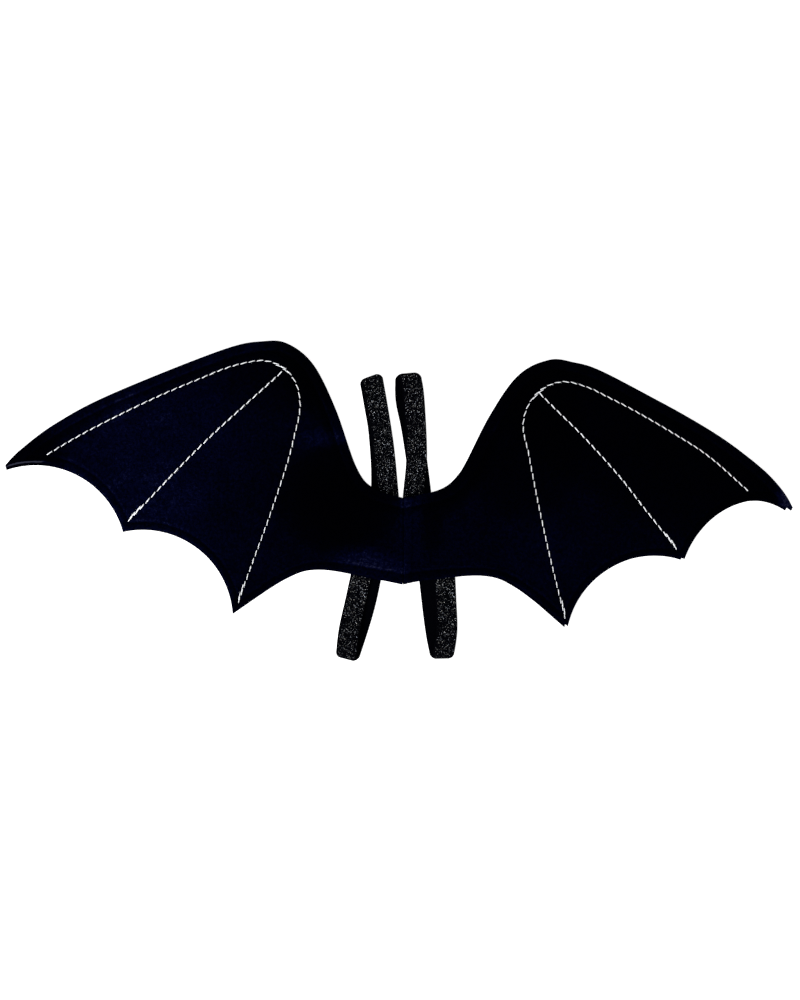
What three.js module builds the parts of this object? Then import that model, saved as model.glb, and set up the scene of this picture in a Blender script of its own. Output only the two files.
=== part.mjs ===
// A pair of child's bat wings in black felt, lying face up on the floor with both arm loops
// tucked flat behind them. Each wing is two layers of felt, joined at a seam in the middle of
// the back, and each arm loop is one elastic band with both ends sewn behind the panel.
// +X is to the right as seen from above, +Y is towards the neck, +Z is up from the floor.
import * as THREE from "three";

// Driving dimensions of one wing, in millimetres, from the middle of the panel at the seam
const WING_REACH = 399;
const CROWN_RISE = 200;
const NECK_RISE = 43;
const WAIST_DROP = 42.5;
const LOW_TIP_DROP = 72;
const MIDDLE_SCALLOP = 31.5;
const OUTER_SCALLOP = 28.5;
const TIP_WIDTH = 4;
const TIP_SLANT = 1.3;
const FELT = 1.5;

// The elastic bands, and how high they stand where they fold over
const BAND = 21;
const ELASTIC = 1.4;
const TUCK = 20;
const NECK_FOLD = 168;
const WAIST_FOLD = 119;
const FOLD_HEIGHT = 11;
const FOLD_CORNER = 4;

// Clearances, and how the felt lies
const GAP = 0.3;
const BAND_SLACK = 0.6;
const FALL = 70;
const SWELL = 4;
const SLIP_OUT = 1.0;
const SLIP_DOWN = 1.2;

// How finely the surfaces are divided
const WAIST_STEPS = 16;
const SCALLOP_STEPS = 14;
const ROWS = 12;
const BEND_STEPS = 40;
const LEG_STEPS = 16;
const FOLD_STEPS = 8;

// Leading edge of a wing, from the seam to the tip: shares of WING_REACH and CROWN_RISE
const LEADING_EDGE = [
  { out: 0.075, up: 0.265 },
  { out: 0.118, up: 0.37 },
  { out: 0.17, up: 0.66 },
  { out: 0.225, up: 0.88 },
  { out: 0.288, up: 0.985 },
  { out: 0.35, up: 1.0 },
  { out: 0.457, up: 0.955 },
  { out: 0.733, up: 0.735 },
  { out: 0.871, up: 0.59 },
  { out: 0.958, up: 0.46 },
  { out: 0.998, up: 0.38 },
];

// Edge from the seam to the low tip: shares of WING_REACH and of LOW_TIP_DROP
const WAIST_EDGE = [
  { out: 0.068, down: 0.514 },
  { out: 0.206, down: 0.385 },
  { out: 0.293, down: 0.514 },
];
const LOW_TIP_OUT = 0.426;
const MIDDLE_TIP = { out: 0.702, up: 0.05 };

// How each layer lies: on the floor side or the face side, and how many degrees it droops at
// the seam, curls back further out and hooks at its tip. It is drawn in by shares of WING_REACH,
// near the seam and far from it, and pinched narrower by a share of its height.
const LAYERS = {
  back_left_wing: { side: -1, face: 0, droop: 0, curl: 0, hook: 0, near: 0, far: 0.002, pinch: 0 },
  back_right_wing: {
    side: 1, face: 0, droop: 7.4, curl: -5.4, hook: 6, near: -0.003, far: 0.039, pinch: 0.032,
  },
  front_left_wing: { side: -1, face: 1, droop: 0, curl: 0, hook: 0, near: 0, far: 0, pinch: 0 },
  front_right_wing: {
    side: 1, face: 1, droop: 7.4, curl: -5.4, hook: 8, near: -0.009, far: 0.031, pinch: 0.032,
  },
};
const RUNS = {
  droop: { from: 0, to: 0.12 },
  curl: { from: 0.4, to: 1.06 },
  hook: { from: 0.9, to: 1 },
  near: { from: 0, to: 0.18 },
  far: { from: 0.6, to: 1 },
  pinch: { from: 0.12, to: 0.35 },
};
// Height that a tip hooks about and a pinch draws towards, as a share of CROWN_RISE
const HOOK_UP = 0.44;

// Soft swells of the felt: centre, half length and half width as shares of WING_REACH,
// the way it runs in degrees, and its rise as a share of SWELL
const SWELLS = [
  { out: -0.6, up: 0.28, long: 0.3, wide: 0.15, turn: 32, rise: 0.8 },
  { out: -0.47, up: 0.13, long: 0.28, wide: 0.14, turn: 58, rise: 0.7 },
  { out: -0.3, up: 0.36, long: 0.24, wide: 0.14, turn: 75, rise: 0.6 },
  { out: -0.97, up: 0.19, long: 0.18, wide: 0.15, turn: 25, rise: 0.8 },
  { out: -0.43, up: -0.17, long: 0.2, wide: 0.16, turn: 60, rise: 0.7 },
  { out: -0.09, up: -0.07, long: 0.18, wide: 0.11, turn: 12, rise: 0.5 },
  { out: 0.14, up: -0.04, long: 0.2, wide: 0.12, turn: -14, rise: 0.4 },
  { out: 0.33, up: 0.24, long: 0.26, wide: 0.14, turn: -78, rise: 0.6 },
  { out: 0.59, up: 0.23, long: 0.3, wide: 0.15, turn: -40, rise: 0.8 },
  { out: 0.46, up: 0.05, long: 0.26, wide: 0.14, turn: -63, rise: 0.6 },
  { out: 0.96, up: 0.08, long: 0.2, wide: 0.16, turn: -30, rise: 0.9 },
  { out: 0.42, up: -0.21, long: 0.2, wide: 0.17, turn: -60, rise: 0.6 },
];

// Route of each band seen from above. A share runs along each leg, from the sewn end to the
// neck fold, along the floor to the waist fold, and back to the other sewn end. The distance
// aside, from the seam to the middle of the band, is a share of BAND. Each fold reaches to a
// share of NECK_FOLD or WAIST_FOLD, and leans to the left by some degrees.
const ROUTES = {
  left: {
    neckFold: { reach: 0.982, lean: 20 },
    waistFold: { reach: 0.996, lean: -15 },
    neck: [
      { share: 0, aside: -0.643 },
      { share: 0.41, aside: -0.88 },
      { share: 0.63, aside: -1.06 },
      { share: 1, aside: -1.46 },
    ],
    floor: [
      { share: 0, aside: -1.6 },
      { share: 0.08, aside: -1.41 },
      { share: 0.19, aside: -1.18 },
      { share: 0.37, aside: -1.05 },
      { share: 0.55, aside: -1.21 },
      { share: 0.8, aside: -1.79 },
      { share: 1, aside: -2.575 },
    ],
    waist: [
      { share: 0, aside: -2.735 },
      { share: 0.27, aside: -2.595 },
      { share: 0.6, aside: -2.28 },
      { share: 1, aside: -1.905 },
    ],
  },
  right: {
    neckFold: { reach: 1, lean: 5 },
    waistFold: { reach: 0.99, lean: 1 },
    neck: [
      { share: 0, aside: 0.38 },
      { share: 0.2, aside: 0.485 },
      { share: 0.45, aside: 0.615 },
      { share: 0.84, aside: 0.495 },
      { share: 1, aside: 0.35 },
    ],
    floor: [
      { share: 0, aside: 0.09 },
      { share: 0.08, aside: 0.115 },
      { share: 0.19, aside: 0.4 },
      { share: 0.4, aside: 0.79 },
      { share: 0.73, aside: 1.23 },
      { share: 0.91, aside: 1.51 },
      { share: 1, aside: 1.725 },
    ],
    waist: [
      { share: 0, aside: 1.905 },
      { share: 0.27, aside: 2.055 },
      { share: 0.6, aside: 2.01 },
      { share: 1, aside: 1.925 },
    ],
  },
};

// A leg starts to rise towards its fold at this share of its free length
const RISE_FROM = 0.25;
// A band turns to the lean of its fold over this share of a leg
const LEAN_SHARE = 0.2;

// Heights of the stack where the bands pass behind the panel
const floorLevel = ELASTIC / 2;
const sewnLevel = ELASTIC + BAND_SLACK + ELASTIC / 2;
const panelLift = 2 * ELASTIC + BAND_SLACK + GAP;
const foldRadius = (FOLD_HEIGHT - ELASTIC) / 2;
const foldLevel = FOLD_HEIGHT - ELASTIC / 2;

function smooth(value, from, to) {
  return THREE.MathUtils.smoothstep(value, from, to);
}

function ramp(value, from, to) {
  return THREE.MathUtils.clamp((value - from) / (to - from), 0, 1);
}

// A closed body between two grids of points of the same size, which meet along all four edges
function closedSheet(under, over) {
  const lines = under.length;
  const across = under[0].length;
  const grids = [under, over];
  const positions = grids.flat(2).flatMap((point) => point.toArray());
  const index = [];
  const at = (grid, line, place) => (grid * lines + line) * across + place;
  const quad = (a, b, c, d) => index.push(a, b, c, a, c, d);
  for (let i = 0; i < lines - 1; i += 1) {
    for (let j = 0; j < across - 1; j += 1) {
      quad(at(0, i, j), at(0, i, j + 1), at(0, i + 1, j + 1), at(0, i + 1, j));
      quad(at(1, i, j), at(1, i + 1, j), at(1, i + 1, j + 1), at(1, i, j + 1));
    }
    quad(at(0, i, 0), at(0, i + 1, 0), at(1, i + 1, 0), at(1, i, 0));
    const far = across - 1;
    quad(at(0, i, far), at(1, i, far), at(1, i + 1, far), at(0, i + 1, far));
  }
  for (let j = 0; j < across - 1; j += 1) {
    quad(at(0, 0, j), at(1, 0, j), at(1, 0, j + 1), at(0, 0, j + 1));
    const last = lines - 1;
    quad(at(0, last, j), at(0, last, j + 1), at(1, last, j + 1), at(1, last, j));
  }
  const geometry = new THREE.BufferGeometry();
  geometry.setAttribute("position", new THREE.Float32BufferAttribute(positions, 3));
  geometry.setIndex(index);
  geometry.computeVertexNormals();
  return geometry;
}

// A round cut between two corners of the cloth, as deep as it says
function scallop(start, end, depth) {
  const chord = end.clone().sub(start);
  const half = chord.length() / 2;
  const radius = (half * half + depth * depth) / (2 * depth);
  const inward = new THREE.Vector2(-chord.y, chord.x).normalize();
  const middle = start.clone().add(end).multiplyScalar(0.5);
  const centre = middle.addScaledVector(inward, depth - radius);
  const from = start.clone().sub(centre).angle();
  const to = end.clone().sub(centre).angle();
  return new THREE.ArcCurve(centre.x, centre.y, radius, from, to, true);
}

// The flat pattern of one wing: its leading edge, and the edges under it from seam to tip
function wingPattern() {
  const leading = [new THREE.Vector2(0, NECK_RISE)];
  for (const row of LEADING_EDGE) {
    leading.push(new THREE.Vector2(row.out * WING_REACH, row.up * CROWN_RISE));
  }
  const tip = leading.at(-1);
  const tipUnder = new THREE.Vector2(tip.x - TIP_SLANT, tip.y - TIP_WIDTH);
  const waist = [new THREE.Vector2(0, -WAIST_DROP)];
  for (const row of WAIST_EDGE) {
    waist.push(new THREE.Vector2(row.out * WING_REACH, -row.down * LOW_TIP_DROP));
  }
  const lowTip = new THREE.Vector2(LOW_TIP_OUT * WING_REACH, -LOW_TIP_DROP);
  waist.push(lowTip);
  const middleTip = new THREE.Vector2(MIDDLE_TIP.out * WING_REACH, MIDDLE_TIP.up * CROWN_RISE);
  return {
    leading: new THREE.SplineCurve(leading),
    under: [
      { curve: new THREE.SplineCurve(waist), steps: WAIST_STEPS },
      { curve: scallop(lowTip, middleTip, MIDDLE_SCALLOP), steps: SCALLOP_STEPS },
      { curve: scallop(middleTip, tipUnder, OUTER_SCALLOP), steps: SCALLOP_STEPS },
    ],
  };
}

// Pairs of opposite points of the pattern, from the seam to the tip
function stations() {
  const pattern = wingPattern();
  const whole = pattern.under.reduce((sum, part) => sum + part.curve.getLength(), 0);
  const found = [];
  let before = 0;
  for (const { curve, steps } of pattern.under) {
    const length = curve.getLength();
    const first = found.length === 0 ? 0 : 1;
    for (let i = first; i <= steps; i += 1) {
      const share = (before + (length * i) / steps) / whole;
      const low = curve.getPointAt(i / steps);
      const high = pattern.leading.getPointAt(Math.min(share, 1));
      found.push({ low, high });
    }
    before += length;
  }
  return found;
}

// Angle that a layer has turned by at a distance from the seam
function turnAt(layer, x) {
  const share = x / WING_REACH;
  const droop = layer.droop * ramp(share, RUNS.droop.from, RUNS.droop.to);
  const curl = layer.curl * ramp(share, RUNS.curl.from, RUNS.curl.to);
  return THREE.MathUtils.degToRad(droop + curl);
}

// Where a point of the flat pattern comes to lie in a layer
function laid(point, layer) {
  const share = point.x / WING_REACH;
  const pivot = new THREE.Vector2(RUNS.hook.from * WING_REACH, HOOK_UP * CROWN_RISE);
  const pinch = layer.pinch * ramp(share, RUNS.pinch.from, RUNS.pinch.to);
  const pinched = new THREE.Vector2(point.x, THREE.MathUtils.lerp(point.y, pivot.y, pinch));
  const hook = layer.hook * ramp(share, RUNS.hook.from, RUNS.hook.to);
  const hooked = pinched.rotateAround(pivot, -THREE.MathUtils.degToRad(hook));
  const near = layer.near * smooth(share, RUNS.near.from, RUNS.near.to);
  const far = layer.far * smooth(share, RUNS.far.from, RUNS.far.to);
  const reach = hooked.x - (near + far) * WING_REACH;
  const step = reach / BEND_STEPS;
  const place = new THREE.Vector2(0, 0);
  for (let i = 0; i < BEND_STEPS; i += 1) {
    const turn = turnAt(layer, (i + 0.5) * step);
    place.x += step * Math.cos(turn);
    place.y -= step * Math.sin(turn);
  }
  const turn = turnAt(layer, reach);
  place.x += hooked.y * Math.sin(turn);
  place.y += hooked.y * Math.cos(turn);
  return new THREE.Vector2(layer.side * (place.x + GAP / 2), place.y);
}

// How far out from the seam the bands reach
function bandReach() {
  const rows = Object.values(ROUTES).flatMap(({ neck, floor, waist }) => [neck, floor, waist].flat());
  const widest = Math.max(...rows.map((row) => Math.abs(row.aside)));
  return (widest + 0.5) * BAND;
}

// Height of the felt's underside over the floor, at a place seen from above
function liftAt(x, y) {
  const reach = bandReach();
  let height = panelLift * (1 - smooth(Math.abs(x), reach, reach + FALL));
  for (const swell of SWELLS) {
    const turn = THREE.MathUtils.degToRad(swell.turn);
    const dx = x / WING_REACH - swell.out;
    const dy = y / WING_REACH - swell.up;
    const along = (dx * Math.cos(turn) + dy * Math.sin(turn)) / swell.long;
    const across = (dy * Math.cos(turn) - dx * Math.sin(turn)) / swell.wide;
    const inside = Math.max(0, 1 - along * along - across * across);
    height += SWELL * swell.rise * inside * inside;
  }
  return height;
}

// One layer of felt of one wing. The layer on the floor side has slipped a little in its plane.
function feltLayer(layer) {
  const slip = new THREE.Vector2(-SLIP_OUT, -SLIP_DOWN).multiplyScalar(1 - layer.face);
  const under = [];
  const over = [];
  for (const { low, high } of stations()) {
    const line = [];
    for (let j = 0; j <= ROWS; j += 1) {
      const place = laid(low.clone().lerp(high, j / ROWS), layer).add(slip);
      line.push(new THREE.Vector3(place.x, place.y, liftAt(place.x, place.y)));
    }
    under.push(line);
    over.push(line.map((point) => point.clone().setZ(point.z + FELT)));
  }
  if (layer.side < 0) {
    under.reverse();
    over.reverse();
  }
  return closedSheet(under, over);
}

// Height of the middle of a band on its way from a sewn end to a fold
function legHeight(y, edgeY, foldY) {
  const free = ramp(y, edgeY, foldY);
  return THREE.MathUtils.lerp(sewnLevel, foldLevel, smooth(free, RISE_FROM, 1));
}

// Stations along one leg of a band: the middle of the band, and how far it leans to the left.
// At an end where it meets a fold it takes that fold's lean.
function legStations(rows, fromY, toY, heightAt, startFold, endFold) {
  const points = rows.map((row) => {
    const y = THREE.MathUtils.lerp(fromY, toY, row.share);
    return new THREE.Vector2(row.aside * BAND, y);
  });
  const curve = new THREE.SplineCurve(points);
  const upward = Math.sign(toY - fromY);
  const found = [];
  for (let i = 0; i <= LEG_STEPS; i += 1) {
    const share = i / LEG_STEPS;
    const { x, y } = curve.getPointAt(share);
    const ahead = curve.getTangentAt(share).multiplyScalar(upward);
    let lean = Math.atan2(-ahead.x, ahead.y);
    if (startFold) {
      const hold = 1 - smooth(share, 0, LEAN_SHARE);
      lean = THREE.MathUtils.lerp(lean, THREE.MathUtils.degToRad(startFold.lean), hold);
    }
    if (endFold) {
      const hold = smooth(share, 1 - LEAN_SHARE, 1);
      lean = THREE.MathUtils.lerp(lean, THREE.MathUtils.degToRad(endFold.lean), hold);
    }
    found.push({ place: new THREE.Vector3(x, y, heightAt(y)), lean, width: BAND });
  }
  return found;
}

// Width of a band at a distance in from the end of its fold, where its corners are round
function foldWidth(away) {
  const share = Math.max(0, 1 - away / FOLD_CORNER);
  return BAND - 2 * FOLD_CORNER * (1 - Math.sqrt(1 - share * share));
}

// The half turn of a band at a fold, between the last station before it and the first after it
function foldStations(before, after, upward) {
  const found = [];
  for (let i = 1; i < FOLD_STEPS; i += 1) {
    const share = i / FOLD_STEPS;
    const angle = Math.PI * share;
    const place = before.place.clone().lerp(after.place, share);
    const outwards = upward * foldRadius * Math.sin(angle);
    place.x -= outwards * Math.sin(before.lean);
    place.y += outwards * Math.cos(before.lean);
    const rising = Math.sign(after.place.z - before.place.z);
    place.z = floorLevel + foldRadius * (1 - rising * Math.cos(angle));
    const width = foldWidth(foldRadius * (1 - Math.sin(angle)));
    found.push({ place, lean: before.lean, width });
  }
  return found;
}

// Stations along a whole band, from one sewn end to the other
function bandStations({ neckFold, waistFold, neck, floor, waist }) {
  const neckTurn = neckFold.reach * NECK_FOLD - FOLD_HEIGHT / 2;
  const waistTurn = -waistFold.reach * WAIST_FOLD + FOLD_HEIGHT / 2;
  const neckHeight = (y) => legHeight(y, NECK_RISE, neckTurn);
  const waistHeight = (y) => legHeight(-y, WAIST_DROP, -waistTurn);
  const first = legStations(neck, NECK_RISE - TUCK, neckTurn, neckHeight, null, neckFold);
  const second = legStations(floor, neckTurn, waistTurn, () => floorLevel, neckFold, waistFold);
  const third = legStations(waist, waistTurn, -WAIST_DROP + TUCK, waistHeight, waistFold, null);
  return [
    ...first,
    ...foldStations(first.at(-1), second[0], 1),
    ...second,
    ...foldStations(second.at(-1), third[0], -1),
    ...third,
  ];
}

// The band itself: a flat section carried along its stations. Its outer face looks up along
// the legs that are sewn to the panel, and down along the floor.
function elasticBand(route) {
  const line = bandStations(route);
  const inner = [];
  const outer = [];
  line.forEach(({ place, lean, width }, i) => {
    const before = line[Math.max(i - 1, 0)].place;
    const after = line[Math.min(i + 1, line.length - 1)].place;
    const ahead = after.clone().sub(before).normalize();
    const sideways = new THREE.Vector3(Math.cos(lean), Math.sin(lean), 0);
    const outward = sideways.clone().cross(ahead).normalize();
    const edges = [width / 2, -width / 2].map((reach) => place.clone().addScaledVector(sideways, reach));
    inner.push(edges.map((edge) => edge.clone().addScaledVector(outward, -ELASTIC / 2)));
    outer.push(edges.map((edge) => edge.clone().addScaledVector(outward, ELASTIC / 2)));
  });
  return closedSheet(inner, outer);
}

function named(name, geometry, material) {
  const mesh = new THREE.Mesh(geometry, material);
  mesh.name = name;
  return mesh;
}

function felt() {
  return new THREE.MeshStandardMaterial({ color: 0x05060f, roughness: 0.95, metalness: 0 });
}

function elastic() {
  return new THREE.MeshStandardMaterial({ color: 0x17191d, roughness: 0.55, metalness: 0.2 });
}

const wings = new THREE.Group();
for (const [name, layer] of Object.entries(LAYERS)) {
  const cloth = named(name, feltLayer(layer), felt());
  cloth.position.z = layer.face * (FELT + GAP);
  wings.add(cloth);
}
for (const [side, route] of Object.entries(ROUTES)) {
  wings.add(named(`${side}_strap`, elasticBand(route), elastic()));
}

// The origin is on the floor, under the middle of the whole thing
const box = new THREE.Box3().setFromObject(wings);
const middle = box.getCenter(new THREE.Vector3());
wings.position.set(-middle.x, -middle.y, -box.min.z);

const group = new THREE.Group();
group.add(wings);

export default group;
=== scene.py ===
import bpy
import numpy as np
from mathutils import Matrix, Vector
from mathutils.bvhtree import BVHTree


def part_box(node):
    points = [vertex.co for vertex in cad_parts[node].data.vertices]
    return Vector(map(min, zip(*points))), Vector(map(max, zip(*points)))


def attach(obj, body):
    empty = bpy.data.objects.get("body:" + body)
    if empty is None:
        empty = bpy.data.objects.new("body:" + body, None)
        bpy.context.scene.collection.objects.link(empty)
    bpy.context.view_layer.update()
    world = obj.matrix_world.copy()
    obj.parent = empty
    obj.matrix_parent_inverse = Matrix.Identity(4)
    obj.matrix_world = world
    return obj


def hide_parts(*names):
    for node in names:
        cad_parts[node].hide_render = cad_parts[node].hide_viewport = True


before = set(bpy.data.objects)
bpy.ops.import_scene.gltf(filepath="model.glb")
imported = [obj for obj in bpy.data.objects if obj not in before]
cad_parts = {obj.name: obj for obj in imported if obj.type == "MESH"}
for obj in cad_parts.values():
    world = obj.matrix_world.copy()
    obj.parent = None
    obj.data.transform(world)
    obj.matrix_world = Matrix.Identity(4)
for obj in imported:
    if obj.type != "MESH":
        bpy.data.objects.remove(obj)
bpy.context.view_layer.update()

MM = 0.001

# Driving dimensions of one wing, as in the part's source
WING_REACH = 399
CROWN_RISE = 200
NECK_RISE = 43
WAIST_DROP = 42.5
LOW_TIP_DROP = 72
MIDDLE_SCALLOP = 31.5
OUTER_SCALLOP = 28.5
TIP_WIDTH = 4
TIP_SLANT = 1.3
FELT = 1.5

# The elastic bands, as in the part's source
BAND = 21
ELASTIC = 1.4
TUCK = 20
NECK_FOLD = 168
WAIST_FOLD = 119
FOLD_HEIGHT = 11
FOLD_CORNER = 4

# Clearances, and how the felt lies, as in the part's source
GAP = 0.3
BAND_SLACK = 0.6
FALL = 70
SWELL = 4
SLIP_OUT = 1.0
SLIP_DOWN = 1.2

# Edges of a wing: shares of WING_REACH and CROWN_RISE, or of LOW_TIP_DROP below the seam
LEADING_EDGE = [
    (0.075, 0.265), (0.118, 0.37), (0.17, 0.66), (0.225, 0.88), (0.288, 0.985),
    (0.35, 1.0), (0.457, 0.955), (0.733, 0.735), (0.871, 0.59), (0.958, 0.46),
    (0.998, 0.38),
]
WAIST_EDGE = [(0.068, 0.514), (0.206, 0.385), (0.293, 0.514)]
LOW_TIP_OUT = 0.426
MIDDLE_TIP = (0.702, 0.05)

# How each layer lies, as in the part's source: on the floor side or the face side, how many
# degrees it droops, curls back and hooks, and the shares that it is drawn in and pinched by
LAYERS = {
    "back_left_wing": dict(side=-1, face=0, droop=0, curl=0, hook=0, near=0, far=0.002, pinch=0),
    "back_right_wing": dict(
        side=1, face=0, droop=7.4, curl=-5.4, hook=6, near=-0.003, far=0.039, pinch=0.032
    ),
    "front_left_wing": dict(side=-1, face=1, droop=0, curl=0, hook=0, near=0, far=0, pinch=0),
    "front_right_wing": dict(
        side=1, face=1, droop=7.4, curl=-5.4, hook=8, near=-0.009, far=0.031, pinch=0.032
    ),
}
# The stretch over which each of these comes in: shares of WING_REACH
RUNS = dict(
    droop=(0, 0.12),
    curl=(0.4, 1.06),
    hook=(0.9, 1),
    near=(0, 0.18),
    far=(0.6, 1),
    pinch=(0.12, 0.35),
)
# Height that a tip hooks about and a pinch draws towards, as a share of CROWN_RISE
HOOK_UP = 0.44

# Soft swells: out, up, half length, half width (shares of WING_REACH), turn, rise (of SWELL)
SWELLS = [
    (-0.6, 0.28, 0.3, 0.15, 32, 0.8),
    (-0.47, 0.13, 0.28, 0.14, 58, 0.7),
    (-0.3, 0.36, 0.24, 0.14, 75, 0.6),
    (-0.97, 0.19, 0.18, 0.15, 25, 0.8),
    (-0.43, -0.17, 0.2, 0.16, 60, 0.7),
    (-0.09, -0.07, 0.18, 0.11, 12, 0.5),
    (0.14, -0.04, 0.2, 0.12, -14, 0.4),
    (0.33, 0.24, 0.26, 0.14, -78, 0.6),
    (0.59, 0.23, 0.3, 0.15, -40, 0.8),
    (0.46, 0.05, 0.26, 0.14, -63, 0.6),
    (0.96, 0.08, 0.2, 0.16, -30, 0.9),
    (0.42, -0.21, 0.2, 0.17, -60, 0.6),
]

# Route of each band from above, as in the part's source: how far each fold reaches as a share
# of NECK_FOLD or WAIST_FOLD, its lean in degrees, and for each leg its share and aside in BAND
ROUTES = {
    "left": dict(
        neck_fold=dict(reach=0.982, lean=20),
        waist_fold=dict(reach=0.996, lean=-15),
        neck=[(0, -0.643), (0.41, -0.88), (0.63, -1.06), (1, -1.46)],
        floor=[
            (0, -1.6), (0.08, -1.41), (0.19, -1.18), (0.37, -1.05), (0.55, -1.21),
            (0.8, -1.79), (1, -2.575),
        ],
        waist=[(0, -2.735), (0.27, -2.595), (0.6, -2.28), (1, -1.905)],
    ),
    "right": dict(
        neck_fold=dict(reach=1, lean=5),
        waist_fold=dict(reach=0.99, lean=1),
        neck=[(0, 0.38), (0.2, 0.485), (0.45, 0.615), (0.84, 0.495), (1, 0.35)],
        floor=[
            (0, 0.09), (0.08, 0.115), (0.19, 0.4), (0.4, 0.79), (0.73, 1.23), (0.91, 1.51),
            (1, 1.725),
        ],
        waist=[(0, 1.905), (0.27, 2.055), (0.6, 2.01), (1, 1.925)],
    ),
}
# Where a leg starts to rise to its fold, and the part of it over which it turns to its lean
RISE_FROM = 0.25
LEAN_SHARE = 0.2

# White stitch lines on the flat wing: shares of WING_REACH and CROWN_RISE
ARCHES = {
    "left": [
        (0.896, 0.43), (0.81, 0.531), (0.724, 0.62), (0.532, 0.7945), (0.398, 0.891),
        (0.353, 0.903), (0.296, 0.86), (0.2655, 0.767), (0.2595, 0.697), (0.276, 0.506),
        (0.325, 0.187), (0.3855, -0.145), (0.4155, -0.314),
    ],
    "right": [
        (0.87, 0.424), (0.744, 0.592), (0.629, 0.7015), (0.51, 0.8035), (0.457, 0.8415),
        (0.4, 0.879), (0.334, 0.89), (0.286, 0.836), (0.2525, 0.713), (0.25, 0.654),
        (0.2748, 0.49), (0.349, 0.046), (0.418, -0.325),
    ],
}
RAYS = {
    "left": [(0.3026, 0.85), (0.5, 0.492), (0.6925, 0.0962)],
    "right": [(0.278, 0.818), (0.435, 0.574), (0.5155, 0.432), (0.5905, 0.276), (0.68, 0.0945)],
}

# White thread: two plies twisted together, and how thick from the start to the end of a line
STITCH_PITCH = 8.2
STITCH_GAP = 1.5
PLY_RADIUS = 0.33
PLY_OFFSET = 0.26
ARCH_WIDTHS = (1, 0.8)
RAY_WIDTHS = (1.12, 1.12)
TWIST_PITCH = 3.0
STITCH_RINGS = 18
STITCH_SIDES = 8
# Each stitch slants to the side, dips into the felt and narrows towards its end
STITCH_SLANT = 0.4
STITCH_SEAT = 0.12
BOW_SKEW = 0.8
BOW_FLATNESS = 0.4
END_WIDTH = 0.6
END_FLATNESS = 0.6
FIRST_WIDTH = 1.1
NARROWING = 0.3
# Stitches sewn again beside the others, where a line ends or meets the other one
TACK_ASIDE = 0.9
TACKS = 2

# Black thread along the edges
HEM_PITCH = 3.2
HEM_GAP = 0.9
HEM_RADIUS = 0.3
HEM_RINGS = 7
HEM_SIDES = 6
HEM_SEAT = 0.8
HEM_FLATNESS = 0.5

# Box of stitches through each sewn end of a band: from the end, half its width, and its
# thread's size and seat as shares of HEM_RADIUS
BOX = (3, 16)
BOX_HALF = 8
BOX_THREAD = 0.8
BOX_SEAT = 0.4

# Row of stitching along the lower edges: out (a share of WING_REACH), distance from the edge
UNDER_ROW = [(0, 8.2), (0.12, 7.2), (0.22, 5.6), (0.45, 5.6), (0.7, 6.2), (0.86, 7.8), (1, 7.8)]
# Row along the leading edge, and the flat channel between it and the white stitches
LEADING_ROW = 10.6
CHANNEL_START = (-0.5, 1)
CHANNEL_END = 16.5
CHANNEL_FADE = 2
CHANNEL_DEPTH = 0.25
# A row stops where it comes this much nearer to another edge than that edge's own row
UNDER_SLACK = 0.3
LEADING_SLACK = 0.2
# The groove that a row pulls into the felt, and the ridge beside it
GROOVE = 0.6
GROOVE_WIDTH = 1.3
ROW_FADE = 2
RIDGE = 0.3
RIDGE_WIDTH = 1.0
UNDER_RIDGE = 2.5
LEADING_RIDGE = -2.0
# The groove of the white lines, and the puff of the felt beside it, well inside the edges
QUILT_GROOVE = 0.4
QUILT_WIDTH = 1.5
QUILT_PUFF = 0.35
QUILT_AWAY = 5
QUILT_SPREAD = 3.2
QUILT_INSIDE = (8, 14)
# The rounded cut edge, the seam, and the seam's allowance, which lifts the felt beside it
CUT_ROUND = 0.4
CUT_REACH = 1.0
SEAM_DEPTH = 0.55
SEAM_WIDTH = 0.8
SEAM_GAP = 0.04
SEAM_BULGE = 0.5
ALLOWANCE = 8
ALLOWANCE_RISE = 0.35
ALLOWANCE_FADE = 1

# Painted light and shade along these, as powers of two
CUT_LIGHT = 0.6
CUT_SHINE = 1.0
# Painted light outside the upper row, and painted shade between the lower edge and its row
RIM_LIGHT = 0.4
RIM_FADE = 1.5
RIM_SHADE = 0.55
RIM_SHADE_START = (1, 3)
RIM_SHADE_FADE = 1
ROW_SHADE = 0.65
ROW_SHADE_WIDTH = 1.2 * GROOVE_WIDTH
RIDGE_LIGHT = 0.95
RIDGE_LIGHT_WIDTH = 0.9 * RIDGE_WIDTH
CHANNEL_SHADE = 0.95
# Along the white lines the darkening is partly the needle holes and partly painted shade in their
# groove
QUILT_SHADE = 0.8
ALLOWANCE_LIGHT = 0.5
ALLOWANCE_LIGHT_WIDTH = 0.6 * ALLOWANCE
ALLOWANCE_SHADE = 0.3
SEAM_SHADE = 0.25
# Fine lines of painted light beside the seam, by their distance from it
STREAKS = (2.2, 4.6, 6.8)
STREAK_LIGHT = 0.35
STREAK_WIDTH = 0.6
# Light that catches the felt just inside the lower edge of the left wing's tip: where it comes
# in (shares of WING_REACH), how far inside the edge, how wide and how strong
TIP_GLEAM = dict(out=(0.86, 0.94), inside=2.6, width=0.5, light=14)

# How finely the felt is divided, on the floor side (0) and the face side (1)
STATION = {0: 3.0, 1: 1.6}
MIDDLE_ROWS = {0: 36, 1: 68}
FINE_ROW = 0.42
COARSE_ROW = 2.0
ROW_GROWTH = 0.3
# Lines run close together in a strip along each edge. The leading edge's is in millimetres,
# the lower edge's in distances of its row, which is typically so far in, and the seam's in
# ALLOWANCE. Two strips fill no more than a share of the wing's height between them.
LEADING_STRIP = CHANNEL_END + 3
UNDER_STRIP = 2
TYPICAL_ROW = 6
SEAM_STRIP = 1.5
STRIPS_SHARE = 0.8
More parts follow.
